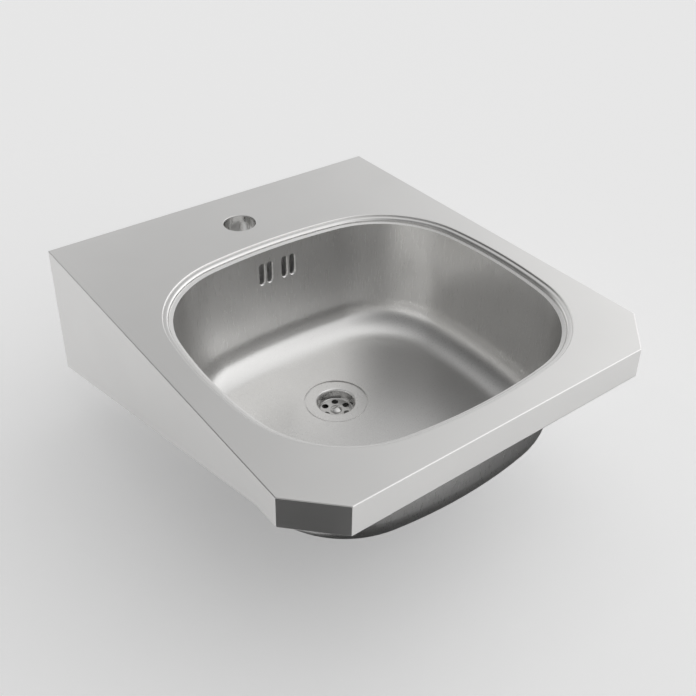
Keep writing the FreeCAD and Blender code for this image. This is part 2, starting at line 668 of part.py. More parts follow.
def make_overflow(outside):
    """Gasket, box, studs, washers and nuts behind the overflow slots."""
    rim_half = "(box_width / 2 + box_sheet + box_rim)"
    rim_top = "-(box_top - box_edge)"
    rim_bottom = f"-({BOX_BOTTOM} + box_sheet + box_edge)"
    face = ("0", "0", BOX_FACE)

    blank = new_body("gasket_blank")
    sketch = new_sketch(blank, "gasket_outline", "XZ_Plane", face)
    draw_rectangle(sketch, f"-{rim_half}", rim_bottom, rim_half, rim_top)
    draw_rectangle(
        sketch, f"-{BOX_HALF}", f"-{BOX_BOTTOM}", BOX_HALF, "-(box_top + box_sheet)"
    )
    for side in ("-", ""):
        draw_circle(sketch, f"{side}{STUD_PLACE}", f"-{STUD_LEVEL}", "stud_thread / 2 + fit_gap")
    add_pad(blank, "gasket_block", sketch, "gasket_least + ledge_width + roll_radius")
    gasket = cut("overflow_gasket", blank, outside)

    box = new_body("overflow_box")
    sketch = new_sketch(box, "box_rim_outline", "XZ_Plane", face)
    draw_rectangle(sketch, f"-{rim_half}", rim_bottom, rim_half, rim_top)
    add_pad(box, "box_rim_plate", sketch, "box_sheet", reverse=True)
    add_fillet(box, "box_rim_corners", "box_edge", is_along_wall)
    back = f"-{BOX_FACE}"
    outer = [
        (back, "-box_top"),
        (f"{back} + box_shallow + box_sheet", "-box_top"),
        (f"{back} + box_deep + box_sheet", "-(box_top + box_slope)"),
        (f"{back} + box_deep + box_sheet", f"-({BOX_BOTTOM} + box_sheet)"),
        (back, f"-({BOX_BOTTOM} + box_sheet)"),
    ]
    sketch = new_sketch(box, "box_side", "YZ_Plane")
    draw_polygon(sketch, outer)
    add_pad(box, "box_shell", sketch, "box_width + 2 * box_sheet", middle=True)
    down = ("0", "0", f"-({BOX_BOTTOM} + box_sheet)")
    sketch = new_sketch(box, "box_socket_circle", "XY_Plane", down)
    draw_circle(sketch, "0", f"-{PIPE_BACK}", SOCKET_RADIUS)
    add_pad(box, "box_socket", sketch, "socket_length", reverse=True)
    inner = [
        (f"{back} - box_sheet", "-(box_top + box_sheet)"),
        (f"{back} + box_shallow", "-(box_top + box_sheet)"),
        (f"{back} + box_deep", "-(box_top + box_slope + box_sheet / 2)"),
        (f"{back} + box_deep", f"-{BOX_BOTTOM}"),
        (f"{back} - box_sheet", f"-{BOX_BOTTOM}"),
    ]
    sketch = new_sketch(box, "box_inside_outline", "YZ_Plane")
    draw_polygon(sketch, inner)
    add_pocket(box, "box_inside", sketch, "box_width", middle=True)
    sketch = new_sketch(box, "box_bore_circle", "XY_Plane", ("0", "0", f"-{BOX_BOTTOM}"))
    draw_circle(sketch, "0", f"-{PIPE_BACK}", SOCKET_BORE)
    add_pocket(box, "box_bore", sketch, "socket_length + 2 * box_sheet")
    sketch = new_sketch(box, "box_stud_circles", "XZ_Plane", face)
    for side in ("-", ""):
        draw_circle(sketch, f"{side}{STUD_PLACE}", f"-{STUD_LEVEL}", "stud_thread / 2 + fit_gap")
    add_pocket(box, "box_stud_holes", sketch, "2 * box_sheet")

    studs, washers, nuts = [], [], []
    for side, sign in (("left", "-"), ("right", "")):
        across, level = f"{sign}{STUD_PLACE}", f"-{STUD_LEVEL}"
        blank = facing_wall(
            "Cylinder",
            f"{side}_stud_blank",
            {
                "Radius": "stud_thread / 2",
                "Height": "stud_reach + box_sheet + gasket_least + ledge_width + roll_radius",
            },
            across,
            f"-{BOX_FACE} + box_sheet + stud_reach",
            level,
        )
        studs.append(cut(f"{side}_stud", blank, outside))
        washer_back = f"-{BOX_FACE} + box_sheet + washer_sheet"
        ring = facing_wall(
            "Cylinder",
            f"{side}_washer_blank",
            {"Radius": "washer_width / 2", "Height": "washer_sheet"},
            across,
            washer_back,
            level,
        )
        washers.append(cut(f"{side}_washer", ring, stud_bore(f"{side}_washer_bore", across, level)))
        prism = facing_wall(
            "Prism",
            f"{side}_nut_blank",
            {"Circumradius": "nut_flats / 2 / cos(30)", "Height": "nut_height"},
            across,
            f"{washer_back} + nut_height",
            level,
        )
        prism.Polygon = 6
        nuts.append(cut(f"{side}_nut", prism, stud_bore(f"{side}_nut_bore", across, level)))
    return [
        gasket,
        box,
        group("overflow_studs", studs),
        group("overflow_washers", washers),
        group("overflow_nuts", nuts),
    ]


def is_along_wall(edge):
    """True for a straight edge that runs from the wall towards the user."""
    if len(edge.Vertexes) != 2 or edge.Curve.TypeId != "Part::GeomLine":
        return False
    start, end = [vertex.Point for vertex in edge.Vertexes]
    return abs(start.x - end.x) < 0.01 and abs(start.z - end.z) < 0.01


def facing_wall(kind, name, sizes, across, back, level):
    """A round or six-sided bar whose length runs from its place towards the user."""
    item = primitive(kind, name, sizes, across, back, level)
    item.Placement.Rotation = FreeCAD.Rotation(FreeCAD.Vector(1, 0, 0), 90)
    return item


def stud_bore(name, across, level):
    sizes = {"Radius": "stud_thread / 2 + fit_gap", "Height": "4 * stud_reach"}
    return facing_wall("Cylinder", name, sizes, across, f"-{BOX_FACE} + 2 * stud_reach", level)


def make_pipe_parts():
    """The bent overflow pipe, and a sealing ring and a compression nut at each end."""
    body = new_body("overflow_pipe")
    top = f"-({SOCKET_END} - pipe_entry)"
    ring = new_sketch(body, "pipe_ring", "XY_Plane", ("0", "0", top))
    draw_circle(ring, "0", f"-{PIPE_BACK}", "pipe_width / 2")
    draw_circle(ring, "0", f"-{PIPE_BACK}", "pipe_width / 2 - pipe_wall")
    route = new_sketch(body, "pipe_route", "YZ_Plane")
    bend_back = f"(-{PIPE_BACK} - pipe_bend)"
    bend_level = f"(-{BRANCH_LEVEL} + pipe_bend)"
    end_back = f"(-{BRANCH_MOUTH} - pipe_entry)"
    x0, x1, x2 = value(f"-{PIPE_BACK}"), value(bend_back), value(end_back)
    z0, z1, z2 = value(top), value(bend_level), value(f"-{BRANCH_LEVEL}")
    down = Part.LineSegment(FreeCAD.Vector(x0, z0, 0), FreeCAD.Vector(x0, z1, 0))
    along = Part.LineSegment(FreeCAD.Vector(x1, z2, 0), FreeCAD.Vector(x2, z2, 0))
    pieces = [down, arc(x1, z1, value("pipe_bend"), -math.pi / 2, 0), along]
    fall, bend, run = [route.addGeometry(piece, False) for piece in pieces]
    route.addConstraint(Sketcher.Constraint("Tangent", fall, 2, bend, 2))
    route.addConstraint(Sketcher.Constraint("Tangent", bend, 1, run, 1))
    pin_point(route, fall, 1, f"-{PIPE_BACK}", top)
    pin_point(route, bend, 3, bend_back, bend_level)
    route.addConstraint(Sketcher.Constraint("Vertical", fall))
    pin_point(route, run, 2, end_back, f"-{BRANCH_LEVEL}")
    pipe = body.newObject("PartDesign::AdditivePipe", "pipe_sweep")
    pipe.Profile = ring
    pipe.Spine = (route, ["Edge1", "Edge2", "Edge3"])
    document.recompute()

    # radius and height pairs about the pipe, from the socket's mouth outwards
    ring_profile = [
        (SOCKET_BORE, "0"),
        (SOCKET_RADIUS, "0"),
        (SOCKET_RADIUS, "ring_height"),
        (SOCKET_BORE, "ring_height"),
    ]
    inner = f"({SOCKET_RADIUS} + fit_gap)"
    outer = f"({inner} + cap_wall)"
    cap_profile = [
        (inner, "-cap_grip"),
        (outer, "-cap_grip"),
        (outer, "ring_height + cap_wall / 2"),
        (f"{outer} - cap_wall / 2", "ring_height + cap_wall"),
        (SOCKET_BORE, "ring_height + cap_wall"),
        (SOCKET_BORE, "ring_height"),
        (inner, "ring_height"),
    ]
    parts = [body]
    for name, profile in (("ring", ring_profile), ("nut", cap_profile)):
        flipped = [(radius, f"-({height})") for radius, height in profile]
        mouth = ("0", f"-{SOCKET_END}", PIPE_BACK)
        parts.append(turned(f"overflow_{name}_upper", flipped, mouth))
        parts.append(turned_level(f"overflow_{name}_lower", profile))
    return parts


def turned_level(label, profile):
    """A body turned about the level axis of the waste body's branch, from the mouth rearwards."""
    body = new_body(label)
    along = (f"-{BRANCH_MOUTH}", f"-{BRANCH_LEVEL}", "0")
    sketch = new_sketch(body, label + "_profile", "YZ_Plane", along)
    draw_polygon(sketch, [(height, radius) for radius, height in profile])
    turn = body.newObject("PartDesign::Revolution", label + "_turn")
    turn.Profile = sketch
    turn.ReferenceAxis = (sketch, ["H_Axis"])
    turn.Angle = 360
    document.recompute()
    return body


def make_waste():
    """Strainer, its screw, two seals, the waste body and the insert that the screw pulls on."""
    axis = ("0", "0", "drain_back")
    flange_top = "-(bowl_depth - seal_sheet - strainer_sheet)"
    flange_under = "-(bowl_depth - seal_sheet)"

    strainer = new_body("strainer")
    sketch = new_sketch(strainer, "strainer_profile", "XZ_Plane", axis)
    draw_polygon(
        sketch,
        [
            ("throat_width / 2", flange_top),
            ("flange_width / 2", flange_top),
            ("flange_width / 2", flange_under),
            ("throat_width / 2 + strainer_sheet", flange_under),
            ("throat_base / 2 + strainer_sheet", f"-{PLATE_TOP} - strainer_sheet"),
            ("0", f"-{PLATE_TOP} - strainer_sheet"),
            ("0", f"-{PLATE_TOP}"),
            ("throat_base / 2", f"-{PLATE_TOP}"),
        ],
    )
    add_turn(strainer, "strainer_pressing", sketch)
    top, throat = value(flange_top), value("throat_width / 2")
    add_fillet(
        strainer,
        "strainer_lip",
        "throat_lip",
        lambda edge: at_level(edge, top) and abs(edge.BoundBox.XMax - throat) < 0.1,
    )
    sketch = new_sketch(strainer, "screw_circle", "XY_Plane", ("0", "0", f"-{PLATE_TOP}"))
    draw_circle(sketch, "0", "-drain_back", "screw_thread / 2 + fit_gap")
    add_pocket(strainer, "screw_opening", sketch, "2 * strainer_sheet")
    sketch = new_sketch(
        strainer, "hole_circle", "XY_Plane", ("0", "-drain_back", f"-{PLATE_TOP}")
    )
    draw_circle(sketch, "strain_circle", "0", "strain_hole / 2")
    hole = add_pocket(strainer, "strainer_hole", sketch, "2 * strainer_sheet")
    holes = strainer.newObject("PartDesign::PolarPattern", "strainer_holes")
    holes.Originals = [hole]
    holes.Axis = (sketch, ["N_Axis"])
    holes.Angle = 360
    holes.setExpression("Occurrences", bound("strain_holes"))
    strainer.Tip = holes
    document.recompute()

    screw = new_body("strainer_screw")
    rise = "(head_height - head_rim)"
    dome = f"((screw_head * screw_head / 4 + {rise} * {rise}) / (2 * {rise}))"
    dome_centre = f"(-{PLATE_TOP} + head_height - {dome})"
    sketch = new_sketch(screw, "strainer_screw_profile", "XZ_Plane", axis)
    draw_polygon(
        sketch,
        [
            ("0", f"-({BOSS_TOP} + insert_height)"),
            ("screw_thread / 2", f"-({BOSS_TOP} + insert_height)"),
            ("screw_thread / 2", f"-{PLATE_TOP}"),
            ("screw_head / 2", f"-{PLATE_TOP}"),
            ("screw_head / 2", f"-{PLATE_TOP} + head_rim", dome_centre),
            ("0", f"-{PLATE_TOP} + head_height"),
        ],
    )
    add_turn(screw, "strainer_screw_turn", sketch)
    sketch = new_sketch(
        screw, "drive_outline", "XY_Plane", ("0", "-drain_back", f"-{PLATE_TOP} + head_height")
    )
    draw_rectangle(
        sketch, "-screw_head", "-drive_width / 2", "screw_head", "drive_width / 2"
    )
    add_pocket(screw, "drive_slot", sketch, "head_height / 2")

    seal = turned(
        "strainer_seal",
        ring_section("drain_hole / 2", "flange_width / 2", "-bowl_depth", flange_under),
        axis,
    )
    gasket = turned(
        "waste_gasket",
        ring_section(
            "drain_hole / 2",
            "flange_width / 2",
            f"-{BODY_TOP}",
            "-(bowl_depth + bowl_sheet)",
        ),
        axis,
    )
    insert = turned(
        "waste_insert",
        ring_section(
            "screw_thread / 2 + fit_gap",
            "insert_width / 2",
            f"-({BOSS_TOP} + insert_height)",
            f"-{BOSS_TOP}",
        ),
        axis,
    )
    return [strainer, screw, seal, gasket, make_waste_body(), insert]


def ring_section(inner, outer, low, high):
    return [(inner, low), (outer, low), (outer, high), (inner, high)]


def make_waste_body():
    """The moulded waste body: flange, cup, cone, threaded outlet, overflow branch and the boss on
    its ribs."""
    body = new_body("waste_body")
    axis = ("0", "0", "drain_back")
    cup_bottom = f"({BODY_TOP} + cup_drop)"
    tail_top = f"({cup_bottom} + cone_drop)"
    tail_end = f"({tail_top} + tail_length)"
    cup_inside = "(cup_width / 2 - cup_wall)"

    sketch = new_sketch(body, "waste_outside", "XZ_Plane", axis)
    draw_polygon(
        sketch,
        [
            ("0", f"-{BODY_TOP}"),
            ("body_flange / 2", f"-{BODY_TOP}"),
            ("body_flange / 2", f"-({BODY_TOP} + body_plate)"),
            ("cup_width / 2", f"-({BODY_TOP} + body_plate)"),
            ("cup_width / 2", f"-{cup_bottom}"),
            ("tail_thread / 2", f"-{tail_top}"),
            ("tail_thread / 2", f"-{tail_end}"),
            ("0", f"-{tail_end}"),
        ],
    )
    add_turn(body, "waste_block", sketch)
    sketch = new_sketch(body, "branch_circle", "XZ_Plane", ("0", "0", BRANCH_MOUTH))
    draw_circle(sketch, "0", f"-{BRANCH_LEVEL}", SOCKET_RADIUS)
    add_pad(body, "branch", sketch, "branch_reach - cup_wall")
    sketch = new_sketch(body, "waste_inside", "XZ_Plane", axis)
    draw_polygon(
        sketch,
        [
            ("0", f"-{BODY_TOP} + body_plate"),
            (cup_inside, f"-{BODY_TOP} + body_plate"),
            (cup_inside, f"-{cup_bottom}"),
            ("tail_bore / 2", f"-{tail_top}"),
            ("tail_bore / 2", f"-{tail_end} - body_plate"),
            ("0", f"-{tail_end} - body_plate"),
        ],
    )
    add_turn(body, "waste_bore", sketch, "Groove")
    sketch = new_sketch(body, "branch_bore_circle", "XZ_Plane", ("0", "0", BRANCH_MOUTH))
    draw_circle(sketch, "0", f"-{BRANCH_LEVEL}", SOCKET_BORE)
    add_pocket(body, "branch_bore", sketch, "branch_reach - cup_wall", reverse=True)

    boss = ("0", "-drain_back", f"-{BOSS_TOP}")
    sketch = new_sketch(body, "rib_outline", "XY_Plane", boss)
    half = f"({cup_inside} + cup_wall / 2)"
    draw_rectangle(sketch, f"-{half}", "-rib_sheet / 2", half, "rib_sheet / 2")
    add_pad(body, "ribs", sketch, "boss_height", reverse=True)
    sketch = new_sketch(body, "boss_circle", "XY_Plane", boss)
    draw_circle(sketch, "0", "0", "boss_width / 2")
    add_pad(body, "boss", sketch, "boss_height", reverse=True)
    sketch = new_sketch(body, "insert_circle", "XY_Plane", boss)
    draw_circle(sketch, "0", "0", "insert_width / 2")
    add_pocket(body, "insert_pocket", sketch, "insert_height")
    return body


def main():
    bowl, outside = make_bowl()
    parts = [make_deck(), bowl]
    parts += make_tap_parts()
    parts += [make_wall_angle("wall_angle_left", -1), make_wall_angle("wall_angle_right", 1)]
    parts += make_overflow(outside)
    parts += make_pipe_parts()
    parts += make_waste()
    document.recompute()

    for item in document.Objects:
        if "Invalid" in item.State or "Error" in item.State:
            raise RuntimeError(f"{item.Label} failed: {item.State}")
    os.makedirs("parts", exist_ok=True)
    for part in parts:
        if part.Shape.isNull() or not part.Shape.isValid():
            raise RuntimeError(f"{part.Label} has no valid shape")
    for part in parts:
        part.Shape.exportStep(f"parts/{part.Label}.step")
        box = part.Shape.BoundBox
        spans = f"x {box.XMin:.1f} {box.XMax:.1f}  y {box.YMin:.1f} {box.YMax:.1f}"
        heights = f"z {box.ZMin:.1f} {box.ZMax:.1f}"
        count = len(part.Shape.Solids)
        print(f"{part.Label:22s} solids {count}  {part.Shape.Volume:10.0f} mm3  {spans}  {heights}")


main()
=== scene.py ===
"""The looks of a wall-hung hand wash sink in stainless steel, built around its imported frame.

+X is the user's right hand, the deck comes forward along -Y from the wall, and its top is Z = 0.
Lengths are in metres, and the sheet metal sizes below are written in millimetres times MM.
"""

import math

import bmesh
import bpy
from mathutils import Matrix, Vector


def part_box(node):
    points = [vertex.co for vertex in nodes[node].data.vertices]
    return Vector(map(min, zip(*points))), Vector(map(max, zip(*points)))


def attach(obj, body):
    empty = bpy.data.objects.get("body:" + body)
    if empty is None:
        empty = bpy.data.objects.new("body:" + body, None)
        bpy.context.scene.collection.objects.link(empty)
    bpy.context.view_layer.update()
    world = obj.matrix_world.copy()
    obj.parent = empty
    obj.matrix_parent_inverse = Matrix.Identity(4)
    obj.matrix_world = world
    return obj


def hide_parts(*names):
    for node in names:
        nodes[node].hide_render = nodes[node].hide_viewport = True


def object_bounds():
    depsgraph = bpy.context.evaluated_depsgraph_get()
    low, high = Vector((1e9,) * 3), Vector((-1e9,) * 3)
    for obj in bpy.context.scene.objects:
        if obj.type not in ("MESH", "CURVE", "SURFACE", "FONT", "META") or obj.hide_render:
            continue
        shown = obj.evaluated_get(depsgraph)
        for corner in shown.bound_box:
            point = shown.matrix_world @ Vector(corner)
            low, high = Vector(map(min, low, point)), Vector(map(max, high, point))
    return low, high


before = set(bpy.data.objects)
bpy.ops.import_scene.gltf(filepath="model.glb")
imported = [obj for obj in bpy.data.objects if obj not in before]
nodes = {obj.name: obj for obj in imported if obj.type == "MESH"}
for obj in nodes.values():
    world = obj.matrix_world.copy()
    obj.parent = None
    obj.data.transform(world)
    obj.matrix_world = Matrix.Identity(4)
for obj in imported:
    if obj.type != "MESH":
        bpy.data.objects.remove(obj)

cad_low, cad_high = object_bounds()

MM = 0.001
UP = Vector((0, 0, 1))

# deck, folded from one sheet
deck_low, deck_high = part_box("deck_shell")
DECK_HALF = deck_high.x
DECK_DEPTH = -deck_low.y
PANEL_DROP = -deck_low.z
SHEET = 1.5 * MM
CORNER_CUT = 40 * MM
APRON_DROP = 31 * MM
PANEL_KINK = 67 * MM
FOLD_ROUND, CORNER_SEAM, HEM_ROUND = 1.0 * MM, 0.7 * MM, 1.8 * MM
LIP_WIDTH = 12 * MM
REAR_DROP, REAR_FOLD_GAP = 28 * MM, 0.3 * MM

# opening and bowl, from the rim down
SIDE_MARGIN, FRONT_MARGIN, REAR_LEDGE = 25 * MM, 26 * MM, 110 * MM
SIDE_BOW, END_BOW, CORNER_ROUND = 482 * MM, 543 * MM, 109 * MM
EDGE_ROLL = 1.2 * MM
BOWL_SHEET = 1.0 * MM
FLANGE, LEDGE, LEDGE_FALL = 11 * MM, 2.6 * MM, 0.4 * MM
ROLL_WIDTH, ROLL_DROP = 2.5 * MM, 3.8 * MM
CREASE_STEP, CREASE_FALL = 3.6 * MM, 1.0 * MM
WALL_TOP_INSET, WALL_TOP = 8.7 * MM, -9.5 * MM
DRAFT = math.radians(1.5)
FLOOR_LEVEL, FLOOR_ROUND, FLOOR_DISH = -141.5 * MM, 35 * MM, 2400 * MM
DISH_TOP = 0.45 * FLOOR_LEVEL
SEAT_RADIUS, SEAT_LEVEL = 33.5 * MM, -143 * MM
DRAIN_HOLE = 22.5 * MM
ROLL_STEPS, WALL_STEPS, ROUND_STEPS, FLOOR_CUTS = 7, 8, 14, 14

# overflow slots
SLOT_HALF_WIDTH, SLOT_HEIGHT, SLOT_LEVEL = 3.75 * MM, 26 * MM, -33.5 * MM
SLOT_PITCH, PAIR_PITCH = 9.8 * MM, 28.2 * MM
SLOT_FLARE, SLOT_NECK, SLOT_COLLAR = 0.3 * MM, 1.6 * MM, 3.4 * MM
MOUTH_FLARE, MOUTH_LEAD, MOUTH_REACH = 0.9 * MM, 1.5 * MM, 9 * MM

# tap hole and its sleeve
sleeve_low, sleeve_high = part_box("tap_sleeve")
TAP_CENTRE = (sleeve_low + sleeve_high) / 2
SLEEVE_WALL, TAP_ROLL = 1.5 * MM, 0.6 * MM
TAP_RADIUS = (sleeve_high.x - sleeve_low.x) / 2 - SLEEVE_WALL

# strainer and its screw
strainer_low, strainer_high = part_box("strainer")
screw_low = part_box("strainer_screw")[0]
DRAIN = (strainer_low + strainer_high) / 2
DRAIN.z = 0
FLANGE_RADIUS, FLANGE_TOP = (strainer_high.x - strainer_low.x) / 2, strainer_high.z
STRAINER_SHEET = 1.0 * MM
THROAT_RADIUS, THROAT_LIP = 19.5 * MM, 2.5 * MM
PLATE_RADIUS, PLATE_TOP = 17.5 * MM, strainer_low.z + STRAINER_SHEET
PLATE_CORNER, PLATE_TAPER = 0.8 * MM, 0.1
HOLES, HOLE_RADIUS, HOLE_CIRCLE = 6, 3.5 * MM, 12.5 * MM
SHANK_RADIUS, HEAD_RADIUS = 3.0 * MM, 6.0 * MM
HEAD_HEIGHT, HEAD_RIM, HEAD_CHAMFER = 3.0 * MM, 0.9 * MM, 0.3 * MM
DRIVE_WIDTH = 1.4 * MM

# how far a cutter reaches past the deck, and how wide the sharp edges are broken
CUT_REACH = 3 * SHEET
DECK_EDGE, BOWL_EDGE, STRAINER_EDGE, SCREW_EDGE = 0.3 * MM, 0.35 * MM, 0.42 * MM, 0.15 * MM

# an angle between faces above which their shared edge is shaded sharp
SHARP = math.radians(35)


# ---------------------------------------------------------------- shaping helpers

def finish_piece(name, bm, material, replaces):
    """Turns a bmesh into a piece of the object that rides on the one body, instead of some nodes."""
    mesh = bpy.data.meshes.new(name)
    bm.to_mesh(mesh)
    bm.free()
    piece = bpy.data.objects.new(name, mesh)
    bpy.context.scene.collection.objects.link(piece)
    mesh.materials.append(material)
    mesh.shade_smooth()
    mesh.set_sharp_from_angle(angle=SHARP)
    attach(piece, "root")
    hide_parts(*replaces)
    return piece


def bake_modifiers(piece):
    """Makes the modifiers part of the mesh and removes them."""
    graph = bpy.context.evaluated_depsgraph_get()
    mesh = bpy.data.meshes.new_from_object(piece.evaluated_get(graph))
    piece.modifiers.clear()
    piece.data = mesh
    mesh.shade_smooth()
    mesh.set_sharp_from_angle(angle=SHARP)


def add_thickness(piece, thickness):
    """Gives a sheet its thickness, away from the side that its faces point to."""
    modifier = piece.modifiers.new("thickness", "SOLIDIFY")
    modifier.thickness = thickness
    modifier.offset = -1
    modifier.use_even_offset = True
    bake_modifiers(piece)


def combine(piece, bm, operation):
    """Adds a closed shape, given as a bmesh, to a piece or takes it away."""
    bmesh.ops.recalc_face_normals(bm, faces=bm.faces)
    mesh = bpy.data.meshes.new("shape")
    bm.to_mesh(mesh)
    bm.free()
    shape = bpy.data.objects.new("shape", mesh)
    bpy.context.scene.collection.objects.link(shape)
    modifier = piece.modifiers.new("combine", "BOOLEAN")
    modifier.object = shape
    modifier.operation = operation
    modifier.solver = "EXACT" if operation == "UNION" else "FAST"
    bake_modifiers(piece)
    bpy.data.objects.remove(shape)


def bend(bm, edges, radius, segments):
    """Rounds the edges of a bmesh."""
    bmesh.ops.bevel(bm, geom=edges, offset=radius, affect="EDGES", segments=segments,
                    profile=0.5, material=-1)


def round_edges(piece, width):
    """Breaks the sharp edges, and lets the flat faces rule the shading of the narrow ones."""
    edge = piece.modifiers.new("edge_round", "BEVEL")
    edge.width = width
    edge.segments = 2
    edge.limit_method = "ANGLE"
    edge.angle_limit = math.radians(50)
    edge.use_clamp_overlap = True
    shading = piece.modifiers.new("even_shading", "WEIGHTED_NORMAL")
    shading.keep_sharp = True
    shading.weight = 50


def polygon(bm, corners):
    """A face through corners, facing up."""
    face = bm.faces.new([bm.verts.new(corner) for corner in corners])
    bm.normal_update()
    if face.normal.z < 0:
        face.normal_flip()
    return face


def numbered_loop(bm, corners):
    """A closed line of edges through corners, and the layer that holds each vertex's station."""
    station = bm.verts.layers.int.new("station")
    verts = [bm.verts.new(corner) for corner in corners]
    for number, vert in enumerate(verts):
        vert[station] = number
    return [bm.edges.new(pair) for pair in zip(verts, verts[1:] + verts[:1])], station


def ring_through(bm, edges, station, corners):
    """Extrudes a ring of edges, and takes each new vertex to the corner of its station."""
    made = bmesh.ops.extrude_edge_only(bm, edges=edges)["geom"]
    verts = {item for item in made if isinstance(item, bmesh.types.BMVert)}
    for vert in verts:
        vert.co = corners[vert[station]]
    return [item for item in made if isinstance(item, bmesh.types.BMEdge)
            and all(vert in verts for vert in item.verts)]


def prism(corners, low, high):
    """A closed upright prism on flat corners, between two levels."""
    bm = bmesh.new()
    face = polygon(bm, [(x, y, low) for x, y in corners])
    made = bmesh.ops.extrude_face_region(bm, geom=[face])
    raised = [item for item in made["geom"] if isinstance(item, bmesh.types.BMVert)]
    bmesh.ops.translate(bm, verts=raised, vec=UP * (high - low))
    return bm


def ring(bm, centre, radius, level, count):
    """A circle of edges that lies flat."""
    place = Matrix.Translation((centre.x, centre.y, level))
    made = bmesh.ops.create_circle(bm, segments=count, radius=radius, matrix=place)
    return list(dict.fromkeys(edge for vert in made["verts"] for edge in vert.link_edges))


def next_ring(bm, edges, centre, factor, rise):
    """Extrudes a ring of edges, then scales the new ring about its axis and lifts it."""
    made = bmesh.ops.extrude_edge_only(bm, edges=edges)["geom"]
    verts = [item for item in made if isinstance(item, bmesh.types.BMVert)]
    space = Matrix.Translation((-centre.x, -centre.y, 0))
    bmesh.ops.scale(bm, verts=verts, vec=(factor, factor, 1), space=space)
    bmesh.ops.translate(bm, verts=verts, vec=UP * rise)
    return [item for item in made if isinstance(item, bmesh.types.BMEdge)
            and all(vert in verts for vert in item.verts)]


def ring_profile(bm, centre, profile, count):
    """A turned surface through radius and level pairs, from its first ring to its last."""
    first_radius, first_level = profile[0]
    edges = ring(bm, centre, first_radius, first_level, count)
    for (r0, z0), (r1, z1) in zip(profile, profile[1:]):
        edges = next_ring(bm, edges, centre, r1 / r0, z1 - z0)
    return edges


def quarter(width, drop, steps):
    """Steps (sideways, down) of a quarter of an ellipse that starts flat and ends upright."""
    angles = [math.pi / 2 * i / steps for i in range(steps + 1)]
    return [(width * (math.sin(b) - math.sin(a)), drop * (math.cos(a) - math.cos(b)))
            for a, b in zip(angles, angles[1:])]


# ---------------------------------------------------------------- outlines

def basin_outline(grow):
    """Points round the opening, grown outwards: two bowed sides, two bowed ends, four corners."""
    half_x = DECK_HALF - SIDE_MARGIN
    half_y = (DECK_DEPTH - FRONT_MARGIN - REAR_LEDGE) / 2
    middle = -(REAR_LEDGE + half_y)
    side_x, end_y = half_x - SIDE_BOW, half_y - END_BOW
    gap = math.hypot(side_x, end_y)
    to_side, to_end = SIDE_BOW - CORNER_ROUND, END_BOW - CORNER_ROUND
    along = (to_side ** 2 - to_end ** 2 + gap ** 2) / (2 * gap)
    off = math.sqrt(to_side ** 2 - along ** 2)
    corner_x = side_x * (1 - along / gap) - off * end_y / gap
    corner_y = end_y * along / gap - off * side_x / gap
    turn_side = math.atan2(corner_y, corner_x - side_x)
    turn_end = math.atan2(corner_y - end_y, corner_x)
    quadrant = (
        (side_x, 0, SIDE_BOW, 0, turn_side, 6),
        (corner_x, corner_y, CORNER_ROUND, turn_side, turn_end, 18),
        (0, end_y, END_BOW, turn_end, math.pi / 2, 6),
    )
    points = []
    for x, y, radius, start, end, steps in quadrant:
        for i in range(steps):
            turn = start + (end - start) * i / steps
            reach = radius + grow
            points.append((x + reach * math.cos(turn), y + reach * math.sin(turn)))
    top = (0, end_y + END_BOW + grow)
    upper_left = [(-x, y) for x, y in reversed(points)]
    upper = points + [top] + upper_left
    lower = [(x, -y) for x, y in reversed(upper[1:-1])]
    return [(x, middle + y) for x, y in upper + lower]


def deck_outline(inset):
    """Corners of the deck from its rear left one, with the kink of each side panel."""
    slant = inset * math.tan(math.pi / 8)
    side, front = DECK_HALF - inset, DECK_DEPTH - inset
    nose = DECK_HALF - CORNER_CUT - slant
    flank = DECK_DEPTH - CORNER_CUT - slant
    kink = DECK_DEPTH - PANEL_KINK
    return [(-side, 0), (-side, -kink), (-side, -flank), (-nose, -front),
            (nose, -front), (side, -flank), (side, -kink), (side, 0)]


# ---------------------------------------------------------------- materials

def math_node(tree, operation, *sources):
    """A math node on links or constants. Returns its result."""
    node = tree.nodes.new("ShaderNodeMath")
    node.operation = operation
    for socket, source in zip(node.inputs, sources):
        if isinstance(source, bpy.types.NodeSocket):
            tree.links.new(source, socket)
        else:
            socket.default_value = source
    return node.outputs[0]


